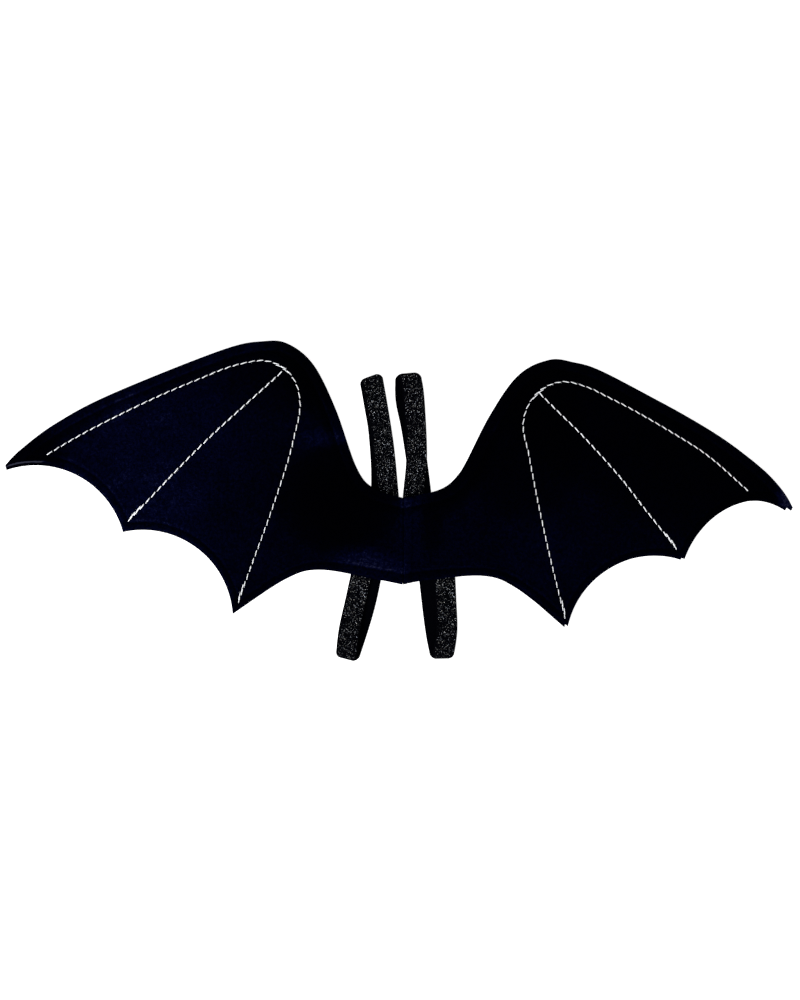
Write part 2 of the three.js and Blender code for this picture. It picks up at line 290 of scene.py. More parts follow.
# Where a line meets an edge at a slant, its strip widens up to this slant
LEAST_STEEP = 0.35
CURVE_POINTS = 1200
EVENLY = np.linspace(0, 1, CURVE_POINTS)
# Every so many points of a curve are enough to measure a distance from it, and so many
# places are measured at a time
THIN = 10
MEASURED_AT_ONCE = 2000
BEND_STEPS = 40

# Slow waves of the felt: length, the way they run in degrees, start in degrees, rise
WAVES = [
    (61, 28, 40, 0.3),
    (43, 71, 200, 0.2),
    (83, -35, 110, 0.35),
    (29, 104, 10, 0.1),
    (23, 12, 250, 0.08),
    (37, -62, 300, 0.15),
]

# Painted light and shade on the felt as it lies: out, up, half length, half width (shares of
# WING_REACH), turn, and how much lighter or darker it is painted there, as a power of two
PAINTED_SHADING_PATCHES = [
    (-0.64, 0.2, 0.4, 0.2, 27, 1.3),
    (-0.53, 0.02, 0.28, 0.14, -30, 0.6),
    (-0.64, 0.33, 0.16, 0.06, 20, 0.4),
    (-0.207, 0.258, 0.075, 0.03, 4, 1.5),
    (-0.088, -0.05, 0.11, 0.04, -14, 2.2),
    (0.12, 0.0, 0.17, 0.13, 0, 0.2),
    (-0.165, 0.105, 0.16, 0.145, 0, -4.0),
    (-0.71, 0.335, 0.12, 0.03, 27, 0.7),
    (-0.26, 0.47, 0.16, 0.1, -50, -1.4),
    (-0.23, 0.39, 0.15, 0.06, -56, -1.6),
    (-0.34, 0.385, 0.13, 0.08, -20, -1.1),
    (-0.95, 0.2, 0.12, 0.07, 20, -2.6),
    (0.03, 0.03, 0.024, 0.09, 0, 0.6),
    (0.008, 0.095, 0.035, 0.014, 0, 1.1),
    (0.07, 0.035, 0.032, 0.075, 0, -1.5),
    (0.14, 0.16, 0.14, 0.06, 52, -2.4),
    (0.56, 0.27, 0.5, 0.19, -32, -2.4),
    (0.3, 0.27, 0.16, 0.24, 0, -1.9),
    (0.34, -0.03, 0.14, 0.12, -30, 0.7),
    (0.85, 0.13, 0.13, 0.07, -40, -1.0),
    (0.965, 0.1, 0.05, 0.034, -60, 3.2),
]
# How softly that fades to the edge of each ellipse
PAINTED_SHADING_FADE = 0.75


def smooth(value, start, end):
    share = np.clip((value - start) / (end - start), 0, 1)
    return share * share * (3 - 2 * share)


def ramp(value, start, end):
    return np.clip((value - start) / (end - start), 0, 1)


def hump(value, width):
    return np.exp(-((value / width) ** 2))


def unit(vectors):
    return vectors / np.linalg.norm(vectors, axis=-1, keepdims=True)


def leftward(ahead):
    """The way to the left of each flat direction."""
    return np.stack([-ahead[..., 1], ahead[..., 0]], -1)


def lengths(line):
    """Length along a line of points, at each of them."""
    return np.concatenate([[0], np.cumsum(np.linalg.norm(np.diff(line, axis=0), axis=1))])


def along(line, shares):
    """Points of a line at shares of its length."""
    place = lengths(line)
    wanted = np.asarray(shares) * place[-1]
    return np.stack([np.interp(wanted, place, axis) for axis in line.T], axis=1)


def way_along(line, shares):
    """The way a line runs, at shares of its length."""
    ahead = np.gradient(along(line, EVENLY), axis=0)
    return np.stack([np.interp(shares, EVENLY, axis) for axis in ahead.T], axis=1)


def cubic(start, end, leave, arrive, t):
    """Points of smooth curves from start to end that leave and arrive in given ways."""
    third = 2 * start - 2 * end + leave + arrive
    second = -3 * start + 3 * end - 2 * leave - arrive
    return ((third * t + second) * t + leave) * t + start


def spline(knots):
    """Close points of the smooth curve that passes through the knots."""
    knots = np.asarray(knots, float)
    padded = np.vstack([knots[:1], knots, knots[-1:]])
    place = np.linspace(0, len(knots) - 1, CURVE_POINTS)
    piece = np.minimum(place.astype(int), len(knots) - 2)
    t = (place - piece)[:, None]
    before, start, end, after = (padded[piece + i] for i in range(4))
    return cubic(start, end, (end - before) / 2, (after - start) / 2, t)


def fair_curve(knots):
    """Close points of a smooth curve through knots that are unevenly far apart."""
    knots = np.asarray(knots, float)
    place = lengths(knots)
    slope = np.gradient(knots, place, axis=0)
    fine = np.linspace(0, place[-1], CURVE_POINTS)
    piece = np.clip(np.searchsorted(place, fine, side="right") - 1, 0, len(knots) - 2)
    span = (place[piece + 1] - place[piece])[:, None]
    t = (fine[:, None] - place[piece][:, None]) / span
    return cubic(knots[piece], knots[piece + 1], slope[piece] * span, slope[piece + 1] * span, t)


def scallop(start, end, depth):
    """The round cut between two corners of the cloth."""
    chord = end - start
    half = np.hypot(*chord) / 2
    radius = (half**2 + depth**2) / (2 * depth)
    ahead = chord / (2 * half)
    inward = leftward(ahead)
    centre = (start + end) / 2 + inward * (depth - radius)
    spread = np.arcsin(half / radius)
    turn = np.linspace(-spread, spread, CURVE_POINTS)[:, None]
    return centre + radius * (np.cos(turn) * inward + np.sin(turn) * ahead)


def of_wing(shares):
    """Places on the flat wing from shares of its reach and rise."""
    return np.asarray(shares, float) * (WING_REACH, CROWN_RISE)


def wing_pattern():
    """The leading edge, and the edges under it from the seam to the tip."""
    leading = np.vstack([(0, NECK_RISE), of_wing(LEADING_EDGE)])
    low_tip = np.array([LOW_TIP_OUT * WING_REACH, -LOW_TIP_DROP])
    middle_tip = of_wing(MIDDLE_TIP)
    tip_under = leading[-1] - (TIP_SLANT, TIP_WIDTH)
    waist = np.asarray(WAIST_EDGE) * (WING_REACH, -LOW_TIP_DROP)
    waist = np.vstack([(0, -WAIST_DROP), waist, low_tip])
    under = [
        spline(waist),
        scallop(low_tip, middle_tip, MIDDLE_SCALLOP),
        scallop(middle_tip, tip_under, OUTER_SCALLOP),
    ]
    return spline(leading), under


LEADING, UNDER = wing_pattern()
UNDER_WHOLE = np.vstack(UNDER)


def distance(points, line):
    """Distance of each point from a line of short straight pieces."""
    start, step = line[:-1], np.diff(line, axis=0)
    size = np.maximum((step**2).sum(1), 1e-9)
    found = []
    for some in np.array_split(points, max(1, len(points) // MEASURED_AT_ONCE)):
        off = some[:, None] - start
        share = np.clip((off * step).sum(2) / size, 0, 1)
        found.append(np.linalg.norm(off - share[..., None] * step, axis=2).min(1))
    return np.concatenate(found)


def crowd(reach, focus, fine=FINE_ROW, coarse=COARSE_ROW):
    """Distances from an edge, closest together at the edge and at its row of stitching."""
    places = [0.0]
    while places[-1] < reach:
        away = min(abs(places[-1] - row) for row in (0, *focus))
        places.append(places[-1] + min(fine + ROW_GROWTH * away, coarse))
    return np.array(places)


def stations(spacing):
    """Opposite points of the pattern from seam to tip, and the way the edges run there."""
    whole = lengths(UNDER_WHOLE)[-1]
    lows, low_runs, shares, before = [], [], [], 0
    for number, curve in enumerate(UNDER):
        length = lengths(curve)[-1]
        near_seam = crowd(ALLOWANCE * SEAM_STRIP, (0, ALLOWANCE)) if number == 0 else np.zeros(1)
        count = int((length - near_seam[-1]) / spacing)
        place = np.concatenate([near_seam, np.linspace(near_seam[-1], length, count)[1:]])
        place = place if number == 0 else place[1:]
        lows.append(along(curve, place / length))
        low_runs.append(way_along(curve, place / length))
        shares.append((before + place) / whole)
        before += length
    share = np.minimum(np.concatenate(shares), 1)
    highs, high_runs = along(LEADING, share), way_along(LEADING, share)
    return np.vstack(lows), highs, np.vstack(low_runs), high_runs


def flat_grid(face):
    """Points of the flat wing: a line of them across it at each station."""
    lows, highs, low_run, high_run = stations(STATION[face])
    across = highs - lows
    height = np.linalg.norm(across, axis=1)
    ahead = across / height[:, None]

    def steepness(run):
        run = unit(run)
        return np.maximum(np.abs(run[:, 0] * ahead[:, 1] - run[:, 1] * ahead[:, 0]), LEAST_STEEP)

    under = crowd(UNDER_STRIP, (1,), FINE_ROW / TYPICAL_ROW, COARSE_ROW / TYPICAL_ROW)
    under = under * (under_row(lows) / steepness(low_run))[:, None]
    leading = crowd(LEADING_STRIP, (LEADING_ROW,)) / steepness(high_run)[:, None]
    fit = np.minimum(1, STRIPS_SHARE * height / (under[:, -1] + leading[:, -1]))[:, None]
    under, leading = under * fit, leading * fit
    middle = np.linspace(0, 1, MIDDLE_ROWS[face] + 2)[1:-1]
    start, end = under[:, -1:], height[:, None] - leading[:, -1:]
    rows = np.hstack([under, start + (end - start) * middle, (height[:, None] - leading)[:, ::-1]])
    return lows[:, None] + rows[..., None] * ahead[:, None]


def turned(points, degrees):
    """Points of the plane turned about the origin, degrees against the clock."""
    angle = np.radians(degrees)
    return np.cos(angle) * points + np.sin(angle) * leftward(points)


def come_in(layer, way, share):
    """How far a layer's droop, curl, hook or pinch has come in at a share of its reach."""
    return layer[way] * ramp(share, *RUNS[way])


def turn_at(layer, x):
    """The angle that a layer has turned by at a distance from the seam."""
    share = x / WING_REACH
    return np.radians(come_in(layer, "droop", share) + come_in(layer, "curl", share))


def laid(points, layer):
    """Where points of the flat wing come to lie in a layer, seen from above."""
    share = points[:, 0] / WING_REACH
    pivot = np.array([RUNS["hook"][0] * WING_REACH, HOOK_UP * CROWN_RISE])
    pinched = points.copy()
    pinched[:, 1] += (pivot[1] - points[:, 1]) * come_in(layer, "pinch", share)
    hooked = turned(pinched - pivot, -come_in(layer, "hook", share)[:, None]) + pivot
    drawn = sum(layer[way] * smooth(share, *RUNS[way]) for way in ("near", "far"))
    reach = hooked[:, 0] - drawn * WING_REACH
    steps = (np.arange(BEND_STEPS) + 0.5) / BEND_STEPS
    turns = turn_at(layer, reach[:, None] * steps)
    turn = turn_at(layer, reach)
    x = reach * np.cos(turns).mean(1) + hooked[:, 1] * np.sin(turn)
    y = -reach * np.sin(turns).mean(1) + hooked[:, 1] * np.cos(turn)
    return np.stack([layer["side"] * (x + GAP / 2), y], 1)


def ellipse(places, out, up, long, wide, turn):
    """How far inside an ellipse each place is: 1 at its middle, 0 at its edge and outside."""
    off = turned(places / WING_REACH - (out, up), -turn)
    return np.maximum(0, 1 - (off[:, 0] / long) ** 2 - (off[:, 1] / wide) ** 2)


def band_reach():
    """How far the bands come from the seam."""
    rows = [row for r in ROUTES.values() for row in (*r["neck"], *r["floor"], *r["waist"])]
    return (max(abs(aside) for _, aside in rows) + 0.5) * BAND


def lift(places):
    """Height of the felt's underside over the floor, with its slow waves."""
    reach = band_reach()
    over_bands = 2 * ELASTIC + BAND_SLACK + GAP
    height = over_bands * (1 - smooth(np.abs(places[:, 0]), reach, reach + FALL))
    for *where, rise in SWELLS:
        height += SWELL * rise * ellipse(places, *where) ** 2
    for length, turn, start, rise in WAVES:
        run = turned(places, -turn)[:, 0]
        height += rise * (1 + np.sin(2 * np.pi * run / length + np.radians(start))) / 2
    return height


def white_lines(side):
    return [fair_curve(of_wing(ARCHES[side])), fair_curve(of_wing(RAYS[side]))]


def under_row(flat):
    """How far inside the lower edge the row of stitching runs, beside each point."""
    out, away = np.array(UNDER_ROW).T
    return np.interp(flat[..., 0], out * WING_REACH, away)


def edge_distances(flat):
    return distance(flat, UNDER_WHOLE[::THIN]), distance(flat, LEADING[::THIN])


def relief(flat, side):
    """How far the felt's face stands over its level, and the painted light and shade on it there.
    """
    under, leading = edge_distances(flat)
    cut = np.minimum(under, leading)
    under_away = under - under_row(flat)
    leading_away = leading - LEADING_ROW
    in_leading = smooth(leading_away, -ROW_FADE, 0)
    in_under = smooth(under_away, -ROW_FADE, 0)
    rise = -CUT_ROUND * np.clip(1 - cut / CUT_REACH, 0, 1) ** 2
    # shade is painted light on the cut edge, rims and ridges, and painted shade in the grooves,
    # channel and seam
    shade = CUT_LIGHT * hump(cut, CUT_SHINE)
    shade += RIM_LIGHT * (1 - smooth(leading_away, -RIM_FADE, 0))
    rim = smooth(under, *RIM_SHADE_START) * (1 - smooth(under_away, 0, RIM_SHADE_FADE))
    shade -= RIM_SHADE * rim * in_leading
    for away, ridge, inside in (
        (under_away, UNDER_RIDGE, in_leading),
        (leading_away, LEADING_RIDGE, in_under),
    ):
        rise -= GROOVE * hump(away, GROOVE_WIDTH) * inside
        shade -= ROW_SHADE * hump(away, ROW_SHADE_WIDTH) * inside
        rise += RIDGE * hump(away - ridge, RIDGE_WIDTH) * inside
        shade += RIDGE_LIGHT * hump(away - ridge, RIDGE_LIGHT_WIDTH) * inside
    channel = 1 - smooth(leading, CHANNEL_END - CHANNEL_FADE, CHANNEL_END + CHANNEL_FADE)
    channel *= smooth(leading_away, *CHANNEL_START) * in_under
    rise -= CHANNEL_DEPTH * channel
    shade -= CHANNEL_SHADE * channel
    quilt = np.min([distance(flat, line[::THIN]) for line in white_lines(side)], axis=0)
    rise += QUILT_PUFF * hump(quilt - QUILT_AWAY, QUILT_SPREAD) * smooth(cut, *QUILT_INSIDE)
    rise -= QUILT_GROOVE * hump(quilt, QUILT_WIDTH)
    shade -= QUILT_SHADE * hump(quilt, QUILT_WIDTH)
    seam = flat[:, 0]
    allowance = (ALLOWANCE - ALLOWANCE_FADE, ALLOWANCE + ALLOWANCE_FADE)
    rise += ALLOWANCE_RISE * (1 - smooth(seam, *allowance))
    rise -= (SEAM_DEPTH + ALLOWANCE_RISE) * hump(seam, SEAM_WIDTH)
    shade += ALLOWANCE_LIGHT * hump(seam, ALLOWANCE_LIGHT_WIDTH)
    shade -= SEAM_SHADE * hump(seam, SEAM_WIDTH)
    shade -= ALLOWANCE_SHADE * hump(seam - ALLOWANCE, SEAM_WIDTH)
    for place in STREAKS:
        shade += STREAK_LIGHT * hump(seam - place, STREAK_WIDTH)
    if side == "left":
        gleam = hump(under - TIP_GLEAM["inside"], TIP_GLEAM["width"])
        gleam *= smooth(seam / WING_REACH, *TIP_GLEAM["out"]) * (leading > TIP_GLEAM["inside"])
        shade += TIP_GLEAM["light"] * gleam
    return rise, shade


def nap(places):
    """Painted light and shade on the felt as it lies, as a power of two."""
    shade = np.zeros(len(places))
    for *where, strength in PAINTED_SHADING_PATCHES:
        shade += strength * ellipse(places, *where) ** PAINTED_SHADING_FADE
    return shade


def side_of(layer):
    return "left" if layer["side"] < 0 else "right"


def row_offset():
    """From the wings' own frame to the row frame."""
    lowest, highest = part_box("front_left_wing")
    return np.array([highest.x / MM + GAP / 2, lowest.y / MM + LOW_TIP_DROP, 0])


OFFSET = row_offset()


def mesh_piece(name, points, faces, material, **attributes):
    """A smooth mesh of points in the wings' own frame, which rides on the root body."""
    mesh = bpy.data.meshes.new(name)
    mesh.from_pydata(((points + OFFSET) * MM).tolist(), [], faces)
    for key, values in attributes.items():
        values = np.asarray(values, float)
        kind = "FLOAT" if values.ndim == 1 else "FLOAT_VECTOR"
        data = mesh.attributes.new(key, kind, "POINT").data
        data.foreach_set("value" if values.ndim == 1 else "vector", values.ravel())
    mesh.shade_smooth()
    mesh.materials.append(material)
    piece = bpy.data.objects.new(name, mesh)
    bpy.context.scene.collection.objects.link(piece)
    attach(piece, "root")
    return piece


def on_felt(flat, layer, tree, way=-1):
    """Points in space where rays through the front layer's places meet a face of felt."""
    places = laid(flat, layer)
    found = []
    for place in (places + OFFSET[:2]) * MM:
        hit, *_ = tree.ray_cast(Vector((*place, -way)), Vector((0, 0, way)))
        found.append(hit.z / MM if hit else np.nan)
    return np.column_stack([places, found])


def face_tree(piece):
    """The faces of a piece, to be met by rays."""
    mesh = piece.data
    return BVHTree.FromPolygons([v.co for v in mesh.vertices], [p.vertices for p in mesh.polygons])


def closed_grid(lines, across):
    """Faces of a closed body between an under and an over grid of the same size."""
    index = np.arange(2 * lines * across).reshape(2, lines, across)
    low, high = index

    def quads(a, b, c, d):
        return np.stack([a, b, c, d], -1).reshape(-1, 4)

    return np.vstack([
        quads(high[:-1, :-1], high[1:, :-1], high[1:, 1:], high[:-1, 1:]),
        quads(low[:-1, :-1], low[:-1, 1:], low[1:, 1:], low[1:, :-1]),
        quads(low[:-1, 0], low[1:, 0], high[1:, 0], high[:-1, 0]),
        quads(low[:-1, -1], high[:-1, -1], high[1:, -1], low[1:, -1]),
        quads(low[0, :-1], high[0, :-1], high[0, 1:], low[0, 1:]),
        quads(low[-1, :-1], low[-1, 1:], high[-1, 1:], high[-1, :-1]),
    ])


def felt_piece(name, node, material):
    """One layer of felt of one wing. Its outer face has the relief, its inner face is plain."""
    layer = LAYERS[node]
    grid = flat_grid(layer["face"])
    lines, across, _ = grid.shape
    flat = grid.reshape(-1, 2)
    places = laid(flat, layer)
    rise, relief_shading = relief(flat, side_of(layer))
    if layer["face"]:
        near_seam = hump(flat[:, 0], SEAM_BULGE) * (GAP - SEAM_GAP) / 2
        places[:, 0] -= layer["side"] * near_seam
        over, under = FELT + rise, np.zeros(len(flat))
    else:
        places -= (SLIP_OUT, SLIP_DOWN)
        over, under = np.full(len(flat), FELT), np.clip(-rise, 0, 1)
    level = lift(places) + layer["face"] * (FELT + GAP)
    points = np.vstack([np.column_stack([places, level + side]) for side in (under, over)])
    faces = closed_grid(lines, across)
    if layer["side"] < 0:
        faces = faces[:, ::-1]
    # Painted light and shade: the patches and the relief's light and shade, as a factor that the
    # material reads
    shade = 2 ** (nap(places) + relief_shading)
    piece = mesh_piece(name, points, faces.tolist(), material, nap=np.tile(shade, 2))
    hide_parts(node)
    return piece


def tubes(paths, radii, sides):
    """Round threads along paths, shaped (thread, ring, 3), closed at both ends."""
    ahead = unit(np.gradient(paths, axis=1))
    aside = unit(np.cross(ahead, (0, 0, 1)))
    above = np.cross(aside, ahead)
    angle = np.linspace(0, 2 * np.pi, sides, endpoint=False)
    ring = np.cos(angle)[:, None] * aside[:, :, None] + np.sin(angle)[:, None] * above[:, :, None]
    points = paths[:, :, None] + np.broadcast_to(radii, paths.shape[:2])[..., None, None] * ring
    threads, rings = paths.shape[:2]
    index = np.arange(threads * rings * sides).reshape(threads, rings, sides)
    after = np.roll(index, -1, axis=2)
    walls = np.stack([index[:, :-1], index[:, 1:], after[:, 1:], after[:, :-1]], -1).reshape(-1, 4)
    ends = len(index.ravel()) + np.arange(threads * 2).reshape(threads, 2)
    caps = [
        np.stack([after[:, 0], np.repeat(ends[:, :1], sides, 1), index[:, 0], index[:, 0]], -1),
        np.stack([index[:, -1], np.repeat(ends[:, 1:], sides, 1), after[:, -1], after[:, -1]], -1),
    ]
    tips = paths[:, [0, -1]].reshape(-1, 3)
    faces = walls.tolist()
    faces += [cap[:3] for part in caps for cap in part.reshape(-1, 4).tolist()]
    return np.vstack([points.reshape(-1, 3), tips]), faces


def stitch_paths(line, pitch, gap, rings):
    """Flat paths of the stitches that share out a line, shaped (stitch, ring, 2)."""
    whole = lengths(line)[-1]
    count = max(1, round(whole / pitch))
    start = np.arange(count) * whole / count + gap / 2
    spread = np.linspace(0, whole / count - gap, rings)
    shares = (start[:, None] + spread) / whole
    return along(line, shares.ravel()).reshape(count, rings, 2)


def thread_piece(name, threads, material):
    """Several threads as one piece."""
    points, faces, before = [], [], 0
    for some_points, some_faces in threads:
        points.append(some_points)
        faces += [[corner + before for corner in face] for face in some_faces]
        before += len(some_points)
    return mesh_piece(name, np.vstack(points), faces, material)


def tacked(stitches, place):
    """Stitches of a line, with the ones nearest to a place sewn again beside them."""
    half = STITCH_RINGS // 2
    nearest = np.linalg.norm(stitches[:, half] - place, axis=1).argmin()
    start = min(max(nearest - TACKS // 2, 0), len(stitches) - TACKS - 1)
    last = stitches[start:start + TACKS + 1]
    again = np.concatenate([last[:-1, half:], last[1:, :STITCH_RINGS - half]], axis=1)
    aside = leftward(unit(np.gradient(again, axis=1)))
    return np.concatenate([stitches, again + TACK_ASIDE * aside])


def white_stitches(side, material, tree):
    """Both lines of white stitches on a wing, each stitch two plies that dip into the felt."""
    layer = LAYERS[f"front_{side}_wing"]
    share = np.linspace(0, 1, STITCH_RINGS)
    bow = np.sin(np.pi * share**BOW_SKEW)
    sag = (1 - bow**BOW_FLATNESS) * (2 * PLY_RADIUS + PLY_OFFSET)
    taper = END_WIDTH + (1 - END_WIDTH) * bow**END_FLATNESS
    taper *= FIRST_WIDTH - NARROWING * share
    slant = STITCH_SLANT * (1 - 2 * share)
    turn = 2 * np.pi * share * (STITCH_PITCH - STITCH_GAP) / TWIST_PITCH
    threads = []
    arch, ray = white_lines(side)
    for line, tacks, widths in (
        (arch, (arch[-1], ray[0]), ARCH_WIDTHS),
        (ray, (ray[-1],), RAY_WIDTHS),
    ):
        flat = stitch_paths(line, STITCH_PITCH, STITCH_GAP, STITCH_RINGS)
        for place in tacks:
            flat = tacked(flat, place)
        flat = flat + slant[:, None] * leftward(unit(np.gradient(flat, axis=1)))
        path = on_felt(flat.reshape(-1, 2), layer, tree).reshape(len(flat), STITCH_RINGS, 3)
        path[..., 2] += PLY_RADIUS + STITCH_SEAT - sag
        aside = unit(np.cross(np.gradient(path, axis=1), (0, 0, 1)))
        thin = np.linspace(*widths, len(path))
        for ply in range(2):
            angle = turn + np.pi * ply
            off = np.cos(angle)[:, None] * aside + np.sin(angle)[:, None] * (0, 0, 1)
            twisted = path + PLY_OFFSET * thin[:, None, None] * off
            threads.append(tubes(twisted, PLY_RADIUS * thin[:, None] * taper, STITCH_SIDES))
    return thread_piece(f"white_stitches_{side}", threads, material)


def inset(line, inside):
    """The row of stitching inside an edge, without the stretches too near another edge."""
    even = along(line, EVENLY)
    away = under_row(even) if inside > 0 else np.full(len(even), LEADING_ROW)
    moved = even + inside * away[:, None] * leftward(unit(np.gradient(even, axis=0)))
    under, leading = edge_distances(moved)
    keep = (under > under_row(moved) - UNDER_SLACK) & (leading > LEADING_ROW - LEADING_SLACK)
    keep &= moved[:, 0] > HEM_PITCH / 2
    return moved[keep]


def edge_rows():
    """The rows of stitching along all edges of the flat wing."""
    return [inset(curve, 1) for curve in UNDER] + [inset(LEADING, -1)]


def plain_thread():
    """How deep a plain stitch dips and how thick it is, at each of its rings."""
    bow = np.sin(np.pi * np.linspace(0, 1, HEM_RINGS))
    return (1 - bow**HEM_FLATNESS) * 2 * HEM_RADIUS, END_WIDTH + (1 - END_WIDTH) * bow


def plain_stitches(name, side, rows, pitch, gap, material, tree, way=-1):
    """Rows of plain stitches, on the face that rays meet on their way down or up."""
    layer = LAYERS[f"front_{side}_wing"]
    sag, taper = plain_thread()
    threads = []
    for row in rows:
        flat = stitch_paths(row, pitch, gap, HEM_RINGS)
        path = on_felt(flat.reshape(-1, 2), layer, tree, way).reshape(len(flat), HEM_RINGS, 3)
        path = path[np.isfinite(path[..., 2]).all(1)]
        path[..., 2] -= way * (HEM_RADIUS * HEM_SEAT - sag)
        path[..., 2] = np.maximum(path[..., 2], HEM_RADIUS)
        threads.append(tubes(path, HEM_RADIUS * taper, HEM_SIDES))
    return thread_piece(f"{name}_{side}", threads, material)


# How finely a band is divided along a leg, round a fold, round its edge and across it, and
# the levels that its middle runs at
BAND_STEP = 1.3
FOLD_STEPS = 22
ROUND_STEPS = 5
ACROSS_STEPS = 18
FLOOR_LEVEL = ELASTIC / 2
SEWN_LEVEL = ELASTIC + BAND_SLACK + ELASTIC / 2
FOLD_RADIUS = (FOLD_HEIGHT - ELASTIC) / 2
FOLD_LEVEL = FOLD_HEIGHT - ELASTIC / 2


def leg(rows, from_y, to_y, height_at, start_lean, end_lean):
    """Middle of a band along one leg, its lean to the left and its width."""
    rows = np.asarray(rows, float)
    line = spline(np.column_stack([rows[:, 1] * BAND, from_y + (to_y - from_y) * rows[:, 0]]))
    share = np.linspace(0, 1, int(abs(to_y - from_y) / BAND_STEP))
    place = along(line, share)
    ahead = np.gradient(place, axis=0) * np.sign(to_y - from_y)
    lean = np.arctan2(-ahead[:, 0], ahead[:, 1])
    if start_lean is not None:
        lean += (np.radians(start_lean) - lean) * (1 - smooth(share, 0, LEAN_SHARE))
    if end_lean is not None:
        lean += (np.radians(end_lean) - lean) * smooth(share, 1 - LEAN_SHARE, 1)
    return np.column_stack([place, height_at(place[:, 1]), lean, np.full(len(share), BAND)])


def fold_width(away):
    """Width of a band at a distance in from the end of its fold, where its corners are round."""
    share = np.maximum(0, 1 - away / FOLD_CORNER)
    return BAND - 2 * FOLD_CORNER * (1 - np.sqrt(1 - share**2))


def fold(before, after, upward):
    """The half turn of a band between two legs."""
    share = np.linspace(0, 1, FOLD_STEPS)[1:-1]
    angle = np.pi * share
    rows = before + (after - before) * share[:, None]
    rows[:, 3] = before[3]
    outwards = upward * FOLD_RADIUS * np.sin(angle)
    rows[:, 0] -= outwards * np.sin(rows[:, 3])
    rows[:, 1] += outwards * np.cos(rows[:, 3])
    rising = np.sign(after[2] - before[2])
    rows[:, 2] = FLOOR_LEVEL + FOLD_RADIUS * (1 - rising * np.cos(angle))
    rows[:, 4] = fold_width(FOLD_RADIUS * (1 - np.sin(angle)))
    return rows


def band_line(route):
    """A whole band from one sewn end to the other: x, y, z, lean, width."""
    neck_turn = route["neck_fold"]["reach"] * NECK_FOLD - FOLD_HEIGHT / 2
    waist_turn = -route["waist_fold"]["reach"] * WAIST_FOLD + FOLD_HEIGHT / 2
    neck_lean, waist_lean = route["neck_fold"]["lean"], route["waist_fold"]["lean"]

    def free(y, edge, turn):
        return SEWN_LEVEL + (FOLD_LEVEL - SEWN_LEVEL) * smooth(ramp(y, edge, turn), RISE_FROM, 1)

    def neck_height(y):
        return free(y, NECK_RISE, neck_turn)

    def waist_height(y):
        return free(-y, WAIST_DROP, -waist_turn)

    def floor_height(y):
        return np.full(len(y), FLOOR_LEVEL)

    first = leg(route["neck"], NECK_RISE - TUCK, neck_turn, neck_height, None, neck_lean)
    second = leg(route["floor"], neck_turn, waist_turn, floor_height, neck_lean, waist_lean)
    third = leg(route["waist"], waist_turn, -WAIST_DROP + TUCK, waist_height, waist_lean, None)
    upper, lower = fold(first[-1], second[0], 1), fold(second[-1], third[0], -1)
    return np.vstack([first, upper, second, lower, third])


def band_section():
    """A band's section: across it from -1 to 1, and out from its middle from -1 to 1."""
    across = np.linspace(-1, 1, ACROSS_STEPS)
    round_share = ELASTIC / BAND
    angle = np.linspace(-np.pi / 2, np.pi / 2, ROUND_STEPS + 2)[1:-1]
    flat = 1 - round_share
    right = np.column_stack([flat + round_share * np.cos(angle), np.sin(angle)])
    inner = np.column_stack([across * flat, -np.ones(ACROSS_STEPS)])
    return np.vstack([inner, right, -inner, -right])


def band_piece(side, material):
    """An arm loop. Its outer face looks up along its sewn legs, and down along the floor."""
    line = band_line(ROUTES[side])
    ahead = unit(np.gradient(line[:, :3], axis=0))
    lean = line[:, 3]
    sideways = np.column_stack([np.cos(lean), np.sin(lean), np.zeros(len(lean))])
    outward = unit(np.cross(sideways, ahead))
    section = band_section()
    reach = section[:, 0] * line[:, 4:5] / 2
    points = line[:, None, :3] + reach[..., None] * sideways[:, None]
    points = points + (section[:, 1] * ELASTIC / 2)[None, :, None] * outward[:, None]
    rings, sides = points.shape[:2]
    index = np.arange(rings * sides).reshape(rings, sides)
    after = np.roll(index, -1, axis=1)
    walls = np.stack([index[:-1], after[:-1], after[1:], index[1:]], -1).reshape(-1, 4)
    faces = walls.tolist() + [index[0][::-1].tolist(), index[-1].tolist()]
    run = np.repeat(lengths(line[:, :3]), sides)
    weave = np.column_stack([reach.ravel(), run, np.tile(section[:, 1], rings)])
    # level: how flat the elastic lies here, which its material reads to paint shade on the glitter
    # at the folds
    level = np.repeat(np.abs(outward[:, 2]), sides)
    points = points.reshape(-1, 3)
    piece = mesh_piece(f"band_{side}", points, faces, material, weave=weave, level=level)
    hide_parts(f"{side}_strap")
    return piece, lengths(line[:, :3])[-1]


def box_stitches(side, material):
    """Black stitches through both sewn ends of a band, a box and its diagonals."""
    line = band_line(ROUTES[side])
    near, far = BOX
    left, right = -BOX_HALF, BOX_HALF
    square = [(left, near), (right, near), (right, far), (left, far)]
    corners = np.array([*square, square[0]], float)
    rows = [corners, corners[[0, 2]], corners[[1, 3]]]
    sag, taper = plain_thread()
    threads = []
    for end in (line, line[::-1]):
        run = lengths(end[:, :3])
        for row in rows:
            flat = stitch_paths(row, HEM_PITCH, HEM_GAP, HEM_RINGS)
            across, away = flat[..., 0], flat[..., 1]
            x, y, z, lean = (np.interp(away, run, end[:, column]) for column in range(4))
            below = ELASTIC / 2 + HEM_RADIUS * BOX_SEAT - sag
            path = np.stack([x + across * np.cos(lean), y + across * np.sin(lean), z - below], -1)
            threads.append(tubes(path, HEM_RADIUS * BOX_THREAD * taper, HEM_SIDES))
    return thread_piece(f"box_stitches_{side}", threads, material)


